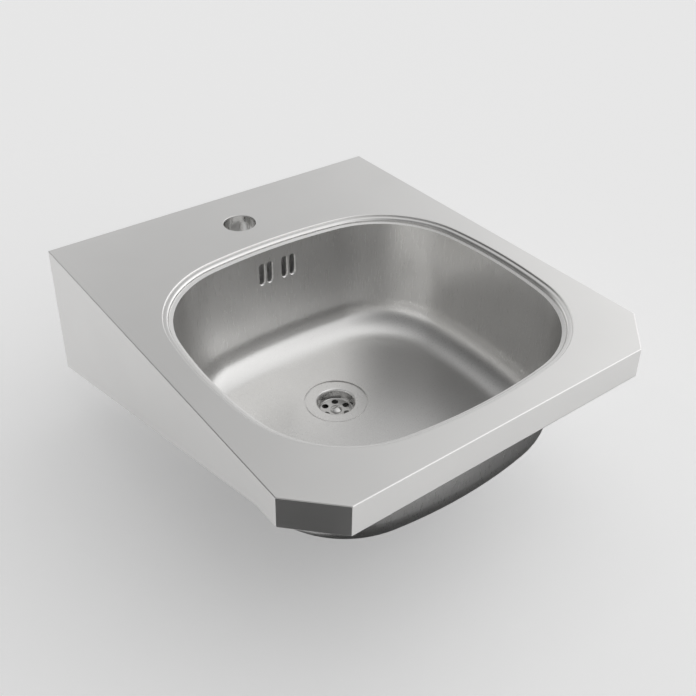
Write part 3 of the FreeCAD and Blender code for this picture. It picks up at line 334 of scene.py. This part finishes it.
class Finish:
    """A material and the few node steps that all of them share."""

    def __init__(self, name, colour, roughness, metallic=0.0):
        self.material = bpy.data.materials.new(name)
        self.material.use_nodes = True
        self.tree = self.material.node_tree
        self.shader = self.tree.nodes["Principled BSDF"]
        self.shader.inputs["Base Color"].default_value = (*colour, 1)
        self.shader.inputs["Roughness"].default_value = roughness
        self.shader.inputs["Metallic"].default_value = metallic
        self.place = self.node("ShaderNodeTexCoord").outputs["Object"]

    def node(self, kind, **settings):
        """Adds a node and its settings."""
        made = self.tree.nodes.new(kind)
        for key, setting in settings.items():
            setattr(made, key, setting)
        return made

    def feed(self, node, socket, source):
        """Links a socket to another node's result, or sets it to a constant."""
        if isinstance(source, bpy.types.NodeSocket):
            self.tree.links.new(source, node.inputs[socket])
        else:
            node.inputs[socket].default_value = source

    def noise(self, scale, detail=2.0, stretch=(1, 1, 1)):
        """Noise whose grains are 1 / scale metres wide, squeezed by stretch along each axis."""
        mapping = self.node("ShaderNodeMapping")
        self.feed(mapping, "Vector", self.place)
        self.feed(mapping, "Scale", stretch)
        noise = self.node("ShaderNodeTexNoise")
        self.feed(noise, "Vector", mapping.outputs["Vector"])
        self.feed(noise, "Scale", scale)
        self.feed(noise, "Detail", detail)
        return noise.outputs["Fac"]

    def spread(self, source, low, high, start=0.3, end=0.7):
        """Spreads a texture's middle range over a range of numbers."""
        ranged = self.node("ShaderNodeMapRange")
        for socket, number in (("Value", source), ("From Min", start), ("From Max", end),
                               ("To Min", low), ("To Max", high)):
            self.feed(ranged, socket, number)
        return ranged.outputs["Result"]

    def tint(self, source, colour_a, colour_b):
        """Lets a texture mix the colour from two."""
        mix = self.node("ShaderNodeMix", data_type="RGBA")
        self.feed(mix, 0, source)
        self.feed(mix, 6, (*colour_a, 1))
        self.feed(mix, 7, (*colour_b, 1))
        self.feed(self.shader, "Base Color", mix.outputs[2])

    def roughen(self, source, low, high):
        """Lets a texture vary the roughness."""
        self.feed(self.shader, "Roughness", self.spread(source, low, high))

    def bump(self, source, height, strength=1.0):
        """Lets a texture raise the surface by up to a height."""
        bump = self.node("ShaderNodeBump")
        self.feed(bump, "Height", source)
        self.feed(bump, "Distance", height)
        self.feed(bump, "Strength", strength)
        self.feed(self.shader, "Normal", bump.outputs["Normal"])


def shade(colour, factor):
    """A colour made darker, or lighter."""
    return tuple(channel * factor for channel in colour)


def satin_steel(name, colour, roughness, grain):
    """Satin sheet: fine brushing that runs along one axis, and faint clouds left by the rolls."""
    finish = Finish(name, colour, roughness, metallic=1.0)
    brushing = finish.noise(1.0, 3.0, grain)
    clouds = finish.noise(9.0, 3.0)
    finish.tint(finish.spread(clouds, 0, 1), shade(colour, 0.965), shade(colour, 1.0))
    finish.roughen(brushing, roughness * 0.92, roughness * 1.08)
    finish.bump(brushing, 0.006 * MM, 0.13)
    return finish.material


def plain_metal(name, colour, roughness, mottle, grains):
    """Metal with a fine even mottle, such as zinc plate or a bright pressing."""
    finish = Finish(name, colour, roughness, metallic=1.0)
    spots = finish.noise(grains, 3.0)
    finish.tint(finish.spread(spots, 0, 1), shade(colour, 1 - mottle), colour)
    finish.roughen(spots, roughness * 0.85, roughness * 1.2)
    return finish.material


def pressed_steel(name, colour, flange_roughness, throat_roughness):
    """The strainer's steel: satin on its flange, smoother down in the throat, where painted shade also
    darkens its colour.
    """
    finish = Finish(name, colour, flange_roughness, metallic=1.0)
    place = finish.node("ShaderNodeSeparateXYZ")
    finish.feed(place, "Vector", finish.place)
    satin_end = FLANGE_TOP - 1.0 * MM
    throat_shade_and_smoothness = finish.spread(place.outputs["Z"], 1, 0, PLATE_TOP, satin_end)
    # Painted shade: the colour darkens towards the plate, down in the throat's recess.
    finish.tint(throat_shade_and_smoothness, shade(colour, 0.97), shade(colour, 0.72))
    brushing = finish.noise(420.0, 3.0)
    rough = finish.node("ShaderNodeMix")
    finish.feed(rough, 0, throat_shade_and_smoothness)
    finish.feed(rough, 2, finish.spread(brushing, flange_roughness * 0.92, flange_roughness * 1.08))
    finish.feed(rough, 3, finish.spread(brushing, throat_roughness * 0.85, throat_roughness * 1.2))
    finish.feed(finish.shader, "Roughness", rough.outputs[0])
    return finish.material


def dull_skin(name, colour, roughness, grains, height):
    """Plastic, rubber or a dull inside: a fine skin and slightly uneven colour."""
    finish = Finish(name, colour, roughness)
    skin = finish.noise(grains, 4.0)
    clouds = finish.noise(25.0, 2.0)
    finish.tint(finish.spread(clouds, 0, 1), shade(colour, 0.94), colour)
    finish.roughen(skin, roughness * 0.9, roughness * 1.1)
    finish.bump(skin, height)
    return finish.material


STEEL = (0.80, 0.795, 0.785)
deck_steel = satin_steel("deck_steel", STEEL, 0.30, (6, 1500, 1500))
bowl_steel = satin_steel("bowl_steel", shade(STEEL, 0.98), 0.29, (1500, 1500, 25))
plain_steel = satin_steel("plain_steel", shade(STEEL, 0.80), 0.38, (900, 900, 12))
dull_steel = dull_skin("dull_steel", (0.86, 0.86, 0.85), 0.5, 400.0, 0.01 * MM)
strainer_steel = pressed_steel("strainer_steel", STEEL, 0.29, 0.18)
sleeve_steel = satin_steel("sleeve_steel", shade(STEEL, 0.9), 0.16, (1500, 1500, 25))
screw_steel = plain_metal("screw_steel", (0.62, 0.615, 0.605), 0.16, 0.04, 300.0)
zinc_steel = plain_metal("zinc_steel", (0.62, 0.64, 0.66), 0.34, 0.18, 420.0)
insert_brass = plain_metal("insert_brass", (0.72, 0.53, 0.25), 0.28, 0.10, 260.0)
waste_plastic = dull_skin("waste_plastic", (0.78, 0.78, 0.76), 0.42, 900.0, 0.03 * MM)
pipe_plastic = dull_skin("pipe_plastic", (0.68, 0.68, 0.67), 0.36, 500.0, 0.02 * MM)
seal_rubber = dull_skin("seal_rubber", (0.028, 0.028, 0.03), 0.62, 1200.0, 0.04 * MM)


# ---------------------------------------------------------------- deck

def is_rear(edge):
    """Whether an edge of the deck lies against the wall."""
    return all(vert.co.y > -SHEET for vert in edge.verts)


def skirted_top():
    """The flat top with its apron, cut corners and side panels, their lower edges turned in."""
    bm = bmesh.new()
    top = polygon(bm, [(x, y, 0) for x, y in deck_outline(0)])
    rim = [edge for edge in top.edges if not is_rear(edge)]
    slope = (PANEL_DROP - APRON_DROP) / (DECK_DEPTH - PANEL_KINK)
    skirt = bmesh.ops.extrude_edge_only(bm, edges=rim)["geom"]
    fallen = [item for item in skirt if isinstance(item, bmesh.types.BMVert)]
    for vert in fallen:
        vert.co.z = -APRON_DROP - max(0, DECK_DEPTH - PANEL_KINK + vert.co.y) * slope
    lower = [item for item in skirt if isinstance(item, bmesh.types.BMEdge)
             and all(vert in fallen for vert in item.verts)]
    turned = dict(zip(deck_outline(0), deck_outline(LIP_WIDTH)))
    for item in bmesh.ops.extrude_edge_only(bm, edges=lower)["geom"]:
        if isinstance(item, bmesh.types.BMVert):
            start = min(turned, key=lambda spot: math.dist(spot, item.co.xy))
            item.co.x, item.co.y = turned[start]
    bmesh.ops.recalc_face_normals(bm, faces=bm.faces)
    bm.normal_update()
    if top.normal.z < 0:
        bmesh.ops.reverse_faces(bm, faces=bm.faces)
    return bm


def round_bends(bm):
    """Rounds the seams of the corners, then the folds round the top, then the hems below."""
    inner = [edge for edge in bm.edges if len(edge.link_faces) == 2 and edge.calc_face_angle(0) > 0.3]
    bend(bm, [edge for edge in inner if abs(edge.verts[0].co.z - edge.verts[1].co.z) > 10 * SHEET
              and abs(edge.verts[0].co.y - edge.verts[1].co.y) < SHEET], CORNER_SEAM, 2)
    bend(bm, [edge for edge in bm.edges if len(edge.link_faces) == 2 and not is_rear(edge)
              and all(abs(vert.co.z) < 0.01 * MM for vert in edge.verts)], FOLD_ROUND, 6)
    bend(bm, [edge for edge in bm.edges if len(edge.link_faces) == 2 and edge.calc_face_angle(0) > 1
              and all(vert.co.z < -APRON_DROP / 2 for vert in edge.verts)], HEM_ROUND, 4)


def make_deck():
    """The deck with its skirt and rear fold from one sheet, its opening and its tap hole."""
    bm = skirted_top()
    round_bends(bm)
    deck = finish_piece("sink_deck", bm, deck_steel, ["deck_shell"])
    add_thickness(deck, SHEET)
    for vert in deck.data.vertices:
        vert.co.y = min(vert.co.y, 0)
    inside = DECK_HALF - SHEET - REAR_FOLD_GAP
    fold = [(-inside, 0), (inside, 0), (inside, -SHEET), (-inside, -SHEET)]
    combine(deck, prism(fold, -REAR_DROP, -SHEET / 2), "UNION")
    combine(deck, opening_shape(), "DIFFERENCE")
    combine(deck, tap_shape(), "DIFFERENCE")
    round_edges(deck, DECK_EDGE)


def rolled_edge(radius):
    """Growth and level of a cutter whose flare rolls a cut edge over, past the deck's top."""
    turns = [math.radians(angle) for angle in (0, 16, 32, 48, 64, 78)]
    flare = [(radius * (1 - math.cos(turn)), radius * (math.sin(turn) - 1)) for turn in turns]
    return flare + [(radius, CUT_REACH)]


def opening_shape():
    """What the bowl's opening takes out of the deck, flared so that its edge is rolled over."""
    bm = bmesh.new()
    edges, station = numbered_loop(bm, [(x, y, -CUT_REACH) for x, y in basin_outline(0)])
    for grow, level in rolled_edge(EDGE_ROLL):
        edges = ring_through(bm, edges, station, [(x, y, level) for x, y in basin_outline(grow)])
    bmesh.ops.holes_fill(bm, edges=bm.edges, sides=0)
    return bm


def tap_shape():
    """What the tap hole takes out of the deck."""
    bm = bmesh.new()
    flare = [(TAP_RADIUS + grow, level) for grow, level in rolled_edge(TAP_ROLL)]
    ring_profile(bm, TAP_CENTRE, [(TAP_RADIUS, -CUT_REACH)] + flare, 72)
    bmesh.ops.holes_fill(bm, edges=bm.edges, sides=0)
    return bm


# ---------------------------------------------------------------- bowl

def dish_rise(x, y):
    """How far the dished floor stands above its lowest point."""
    reach = math.hypot(x - DRAIN.x, y - DRAIN.y)
    return FLOOR_DISH - math.sqrt(FLOOR_DISH ** 2 - reach ** 2)


def bowl_steps():
    """Steps (inwards, down) from the flange's edge to the foot of the wall."""
    steps = [(FLANGE, 0), (LEDGE, LEDGE_FALL)] + quarter(ROLL_WIDTH, ROLL_DROP, ROLL_STEPS)
    steps += [(CREASE_STEP, CREASE_FALL)]
    level = -SHEET - sum(down for inwards, down in steps)
    steps += [((level - WALL_TOP) * math.tan(DRAFT), level - WALL_TOP)]
    wall = WALL_TOP - FLOOR_LEVEL - FLOOR_ROUND
    steps += [(wall * math.tan(DRAFT) / WALL_STEPS, wall / WALL_STEPS)] * WALL_STEPS
    turns = [DRAFT + (math.pi / 2 - DRAFT) * i / ROUND_STEPS for i in range(ROUND_STEPS + 1)]
    steps += [(FLOOR_ROUND * (math.cos(a) - math.cos(b)), FLOOR_ROUND * (math.sin(b) - math.sin(a)))
              for a, b in zip(turns, turns[1:])]
    return steps


def sunk_sheet():
    """The bowl's sheet, sunk ring by ring from its flange, with a flat floor that ends at the seat."""
    bm = bmesh.new()
    grow, level = FLANGE, -SHEET
    edges, station = numbered_loop(bm, [(x, y, level) for x, y in basin_outline(grow)])
    for inwards, down in bowl_steps():
        grow, level = grow - inwards, level - down
        edges = ring_through(bm, edges, station, [(x, y, level) for x, y in basin_outline(grow)])
    around_seat = []
    for x, y in basin_outline(grow):
        reach = SEAT_RADIUS / math.hypot(x - DRAIN.x, y - DRAIN.y)
        around_seat.append((DRAIN.x + (x - DRAIN.x) * reach, DRAIN.y + (y - DRAIN.y) * reach, level))
    foot, seat = edges, ring_through(bm, edges, station, around_seat)
    spokes = dict.fromkeys(edge for side in foot for vert in side.verts for edge in vert.link_edges
                           if any(far in seat for far in edge.other_vert(vert).link_edges))
    bmesh.ops.subdivide_edges(bm, edges=list(spokes), cuts=FLOOR_CUTS)
    return bm, seat


def dish_floor(bm):
    """Raises the floor to its dish, and lets the lower walls follow more and more."""
    bottom = FLOOR_LEVEL + FLOOR_ROUND
    for vert in bm.verts:
        share = (DISH_TOP - vert.co.z) / (DISH_TOP - bottom)
        share = min(1, max(0, share))
        vert.co.z += dish_rise(vert.co.x, vert.co.y) * share * share * (3 - 2 * share)


def make_bowl():
    """The drawn bowl with its dished floor, drain seat and overflow slots."""
    bm, seat = sunk_sheet()
    dish_floor(bm)
    fall = SEAT_LEVEL - FLOOR_LEVEL - dish_rise(DRAIN.x + SEAT_RADIUS, DRAIN.y)
    seat = next_ring(bm, seat, DRAIN, 1, fall)
    next_ring(bm, seat, DRAIN, DRAIN_HOLE / SEAT_RADIUS, 0)
    bmesh.ops.recalc_face_normals(bm, faces=bm.faces)
    bm.normal_update()
    ledge = max(bm.faces, key=lambda face: face.calc_center_median().z)
    if ledge.normal.z < 0:
        bmesh.ops.reverse_faces(bm, faces=bm.faces)
    bowl = finish_piece("drawn_bowl", bm, bowl_steel, ["bowl"])
    add_thickness(bowl, BOWL_SHEET)
    for pair in (-1, 1):
        for slot in (-1, 1):
            form_slot(bowl, pair * PAIR_PITCH / 2 + slot * SLOT_PITCH / 2)
    round_edges(bowl, BOWL_EDGE)


def wall_at(x, z):
    """Where the inside of the bowl's rear wall lies along Y, at a place across and a level."""
    inset = WALL_TOP_INSET + (WALL_TOP - z) * math.tan(DRAFT)
    bow = END_BOW - inset
    return -(REAR_LEDGE + inset + bow - math.sqrt(bow ** 2 - x ** 2))


def slot_corners(across, half_width, throat_shade_and_smoothness):
    """Corners of an upright outline with round ends, at a depth behind the wall's face."""
    straight = SLOT_HEIGHT / 2 - SLOT_HALF_WIDTH
    corners = []
    for step in range(24):
        turn = math.pi * (step + 0.5) / 12
        x = across + half_width * math.cos(turn)
        end = straight if math.sin(turn) > 0 else -straight
        z = SLOT_LEVEL + end + half_width * math.sin(turn)
        corners.append((x, wall_at(x, z) + throat_shade_and_smoothness, z))
    return corners


def slot_bar(across, sections):
    """A closed bar along Y through outlines, each given by its half width and depth."""
    bm = bmesh.new()
    first, *others = [slot_corners(across, half_width, throat_shade_and_smoothness) for half_width, throat_shade_and_smoothness in sections]
    edges, station = numbered_loop(bm, first)
    for corners in others:
        edges = ring_through(bm, edges, station, corners)
    bmesh.ops.holes_fill(bm, edges=bm.edges, sides=0)
    bmesh.ops.triangulate(bm, faces=bm.faces)
    return bm


def form_slot(bowl, across):
    """One overflow slot, whose edge is drawn back through the wall as a short narrowing collar."""
    face = SLOT_HALF_WIDTH + SLOT_FLARE
    neck = face - SLOT_NECK
    collar = [(face + BOWL_SHEET, 0.5 * BOWL_SHEET), (neck + BOWL_SHEET, 0.9 * SLOT_COLLAR)]
    turns = [math.radians(angle) for angle in (12, 25, 38, 51, 64, 77, 90)]
    mouth = [(face + MOUTH_FLARE, -MOUTH_LEAD)]
    mouth += [(face - SLOT_NECK * math.sin(turn), SLOT_COLLAR * (1 - math.cos(turn))) for turn in turns]
    combine(bowl, slot_bar(across, collar), "UNION")
    combine(bowl, slot_bar(across, mouth + [(neck, MOUTH_REACH)]), "DIFFERENCE")


# ---------------------------------------------------------------- strainer and screw

def make_strainer():
    """The pressed strainer: flange, rolled lip, tapered throat and a plate with six holes."""
    bm = bmesh.new()
    profile = [(FLANGE_RADIUS, FLANGE_TOP), (THROAT_RADIUS + THROAT_LIP, FLANGE_TOP)]
    for inwards, down in quarter(THROAT_LIP, THROAT_LIP, 6):
        radius, level = profile[-1]
        profile.append((radius - inwards, level - down))
    profile.append((PLATE_RADIUS + PLATE_CORNER * PLATE_TAPER, PLATE_TOP + PLATE_CORNER))
    for inwards, down in reversed(quarter(PLATE_CORNER, PLATE_CORNER, 3)):
        radius, level = profile[-1]
        profile.append((radius - down, level - inwards))
    rim = ring_profile(bm, DRAIN, profile, 96)
    for number in range(HOLES):
        turn = math.radians(360 / HOLES * number)
        centre = DRAIN + Vector((math.cos(turn), math.sin(turn), 0)) * HOLE_CIRCLE
        rim += ring(bm, centre, HOLE_RADIUS, PLATE_TOP, 32)
    bmesh.ops.triangle_fill(bm, use_beauty=True, edges=rim)
    bmesh.ops.recalc_face_normals(bm, faces=bm.faces)
    bm.normal_update()
    if max(bm.faces, key=lambda face: face.calc_area()).normal.z < 0:
        bmesh.ops.reverse_faces(bm, faces=bm.faces)
    strainer = finish_piece("basket_strainer", bm, strainer_steel, ["strainer"])
    add_thickness(strainer, STRAINER_SHEET)
    round_edges(strainer, STRAINER_EDGE)


def make_screw():
    """The screw in the middle of the strainer: a domed head with one slot, on a plain shank."""
    rise = HEAD_HEIGHT - HEAD_RIM
    dome = (HEAD_RADIUS ** 2 + rise ** 2) / (2 * rise)
    top = PLATE_TOP + HEAD_HEIGHT
    reach = math.asin(HEAD_RADIUS / dome)
    profile = [(0, screw_low.z), (SHANK_RADIUS, screw_low.z), (SHANK_RADIUS, PLATE_TOP),
               (HEAD_RADIUS - HEAD_CHAMFER, PLATE_TOP), (HEAD_RADIUS, PLATE_TOP + HEAD_CHAMFER)]
    profile += [(dome * math.sin(turn), top - dome * (1 - math.cos(turn)))
                for turn in (reach * step / 10 for step in range(10, -1, -1))]
    bm = bmesh.new()
    verts = [bm.verts.new((DRAIN.x + r, DRAIN.y, z)) for r, z in profile]
    edges = [bm.edges.new(pair) for pair in zip(verts, verts[1:])]
    bmesh.ops.spin(bm, geom=verts + edges, cent=DRAIN, axis=UP, angle=math.tau, steps=64,
                   use_merge=True)
    bmesh.ops.remove_doubles(bm, verts=bm.verts, dist=0.005 * MM)
    bmesh.ops.recalc_face_normals(bm, faces=bm.faces)
    screw = finish_piece("strainer_screw_head", bm, screw_steel, ["strainer_screw"])
    half = DRIVE_WIDTH / 2
    slot = prism([(-2 * HEAD_RADIUS, DRAIN.y - half), (2 * HEAD_RADIUS, DRAIN.y - half),
                  (2 * HEAD_RADIUS, DRAIN.y + half), (-2 * HEAD_RADIUS, DRAIN.y + half)],
                 top - HEAD_HEIGHT / 2, top + HEAD_HEIGHT)
    combine(screw, slot, "DIFFERENCE")
    round_edges(screw, SCREW_EDGE)


make_deck()
make_bowl()
make_strainer()
make_screw()

for names, material in (
    (("tap_sleeve",), sleeve_steel),
    (("tap_plate", "wall_angle_left", "wall_angle_right"), plain_steel),
    (("overflow_box",), dull_steel),
    (("overflow_studs",), screw_steel),
    (("overflow_washers", "overflow_nuts"), zinc_steel),
    (("overflow_gasket", "overflow_ring_upper", "overflow_ring_lower", "strainer_seal",
      "waste_gasket"), seal_rubber),
    (("overflow_nut_upper", "overflow_nut_lower", "waste_body"), waste_plastic),
    (("overflow_pipe",), pipe_plastic),
    (("waste_insert",), insert_brass),
):
    for name in names:
        nodes[name].data.materials.clear()
        nodes[name].data.materials.append(material)


# ---------------------------------------------------------------- floor, light and camera

FLOOR_GAP = 0.5 * MM
FLOOR_LIFT = 0.2
# Outline in millimetres of a card that paints shade into the steel's reflections: the floor in front of
# the cut corner and under the sink.
REFLECTED_SHADE_CARD = ((-700, -820), (-250, -820), (-250, -540), (380, -540), (380, -80), (-150, -80),
             (-150, -440), (-700, -440))


def stage_piece(name, bm, material):
    """Turns a bmesh into something that stands round the object."""
    mesh = bpy.data.meshes.new(name)
    bm.to_mesh(mesh)
    bm.free()
    made = bpy.data.objects.new(name, mesh)
    bpy.context.scene.collection.objects.link(made)
    mesh.materials.append(material)
    return made


def make_floor():
    """A wide pale floor under the lowest point, a little lighter where camera and steel see it."""
    bm = bmesh.new()
    bmesh.ops.create_grid(bm, x_segments=1, y_segments=1, size=6)
    bmesh.ops.translate(bm, verts=bm.verts, vec=(0, 0, cad_low.z - FLOOR_GAP))
    finish = Finish("pale_floor", (0.86, 0.86, 0.86), 0.9)
    path = finish.node("ShaderNodeLightPath")
    seen = math_node(finish.tree, "MAXIMUM", path.outputs["Is Camera Ray"], path.outputs["Is Glossy Ray"])
    finish.feed(finish.shader, "Emission Strength", math_node(finish.tree, "MULTIPLY", seen, FLOOR_LIFT))
    stage_piece("floor", bm, finish.material)


def make_reflected_shade_card():
    """A dark card on the floor that only the steel sees: painted shade in its reflections, which sets off
    the cut corner and the bowl with a darker reflected floor.
    """
    bm = bmesh.new()
    polygon(bm, [(x * MM, y * MM, cad_low.z) for x, y in REFLECTED_SHADE_CARD])
    card = stage_piece("reflected_shade_card", bm, Finish("reflected_shade_card", (0.09, 0.09, 0.09), 0.9).material)
    card.visible_camera = card.visible_diffuse = card.visible_shadow = False


def direction(azimuth, elevation):
    """A unit vector: azimuth 0 points along +Y and 90 along +X, and elevation is above the floor."""
    a, e = math.radians(azimuth), math.radians(elevation)
    return Vector((math.sin(a) * math.cos(e), math.cos(a) * math.cos(e), math.sin(e)))


# broad glows: azimuth and elevation in degrees, tightness, and radiance at the middle
GLOWS = (
    (0, 8, 10, 1.35), (45, 8, 10, 0.58), (90, 8, 6, 1.45), (135, 8, 6, 1.25), (180, 8, 6, 0.88),
    (225, 8, 6, 0.22), (270, 8, 6, 0.3), (67, 32, 10, 0.33), (45, 58, 10, 0.3), (135, 58, 8, 0.62),
    (0, 90, 4, 0.6),
)
SURROUND = 0.82


def make_world():
    """Soft light from broad glows round a dim room. The camera itself sees a plain pale surround."""
    world = bpy.data.worlds.new("studio")
    world.use_nodes = True
    tree = world.node_tree
    ray = tree.nodes.new("ShaderNodeTexCoord").outputs["Generated"]
    total = None
    for azimuth, elevation, tightness, level in GLOWS:
        facing = tree.nodes.new("ShaderNodeVectorMath")
        facing.operation = "DOT_PRODUCT"
        facing.inputs[1].default_value = direction(azimuth, elevation)
        tree.links.new(ray, facing.inputs[0])
        positive = math_node(tree, "MAXIMUM", facing.outputs["Value"], 0.0)
        glow = math_node(tree, "POWER", positive, tightness)
        total = math_node(tree, "MULTIPLY_ADD", glow, level, 0.0 if total is None else total)
    seen = tree.nodes.new("ShaderNodeLightPath").outputs["Is Camera Ray"]
    strength = tree.nodes.new("ShaderNodeMix")
    tree.links.new(seen, strength.inputs[0])
    tree.links.new(total, strength.inputs[2])
    strength.inputs[3].default_value = SURROUND
    background = tree.nodes["Background"]
    background.inputs["Color"].default_value = (1, 1, 1, 1)
    tree.links.new(strength.outputs[0], background.inputs["Strength"])
    bpy.context.scene.world = world


# the photograph's view: angles in degrees, the lens and the frame in pixels
VIEW_AZIMUTH, VIEW_ELEVATION, VIEW_ROLL = -37.27, 30.83, 0.94
VIEW_PLACE = (-458 * MM, -845 * MM, 497 * MM)
FOCAL_PIXELS, FRAME_PIXELS = 946.0, 696.0
SENSOR = 36.0
LENS_SHIFT = -0.135


def make_camera():
    """The photograph's view, whose lens is shifted a little so that upright edges stay near upright."""
    camera = bpy.data.cameras.new("camera")
    camera.sensor_width = SENSOR
    camera.lens = FOCAL_PIXELS / FRAME_PIXELS * SENSOR
    camera.shift_y = LENS_SHIFT
    holder = bpy.data.objects.new("camera", camera)
    azimuth, elevation = math.radians(VIEW_AZIMUTH), math.radians(VIEW_ELEVATION)
    back = Vector((math.sin(azimuth) * math.cos(elevation), -math.cos(azimuth) * math.cos(elevation),
                   math.sin(elevation)))
    roll = Matrix.Rotation(math.radians(VIEW_ROLL), 3, "Z").to_quaternion()
    holder.location = VIEW_PLACE
    holder.rotation_mode = "QUATERNION"
    holder.rotation_quaternion = back.to_track_quat("Z", "Y") @ roll
    bpy.context.scene.collection.objects.link(holder)
    bpy.context.scene.camera = holder


make_floor()
make_reflected_shade_card()
make_world()
make_camera()
bpy.context.scene.view_settings.view_transform = "Standard"
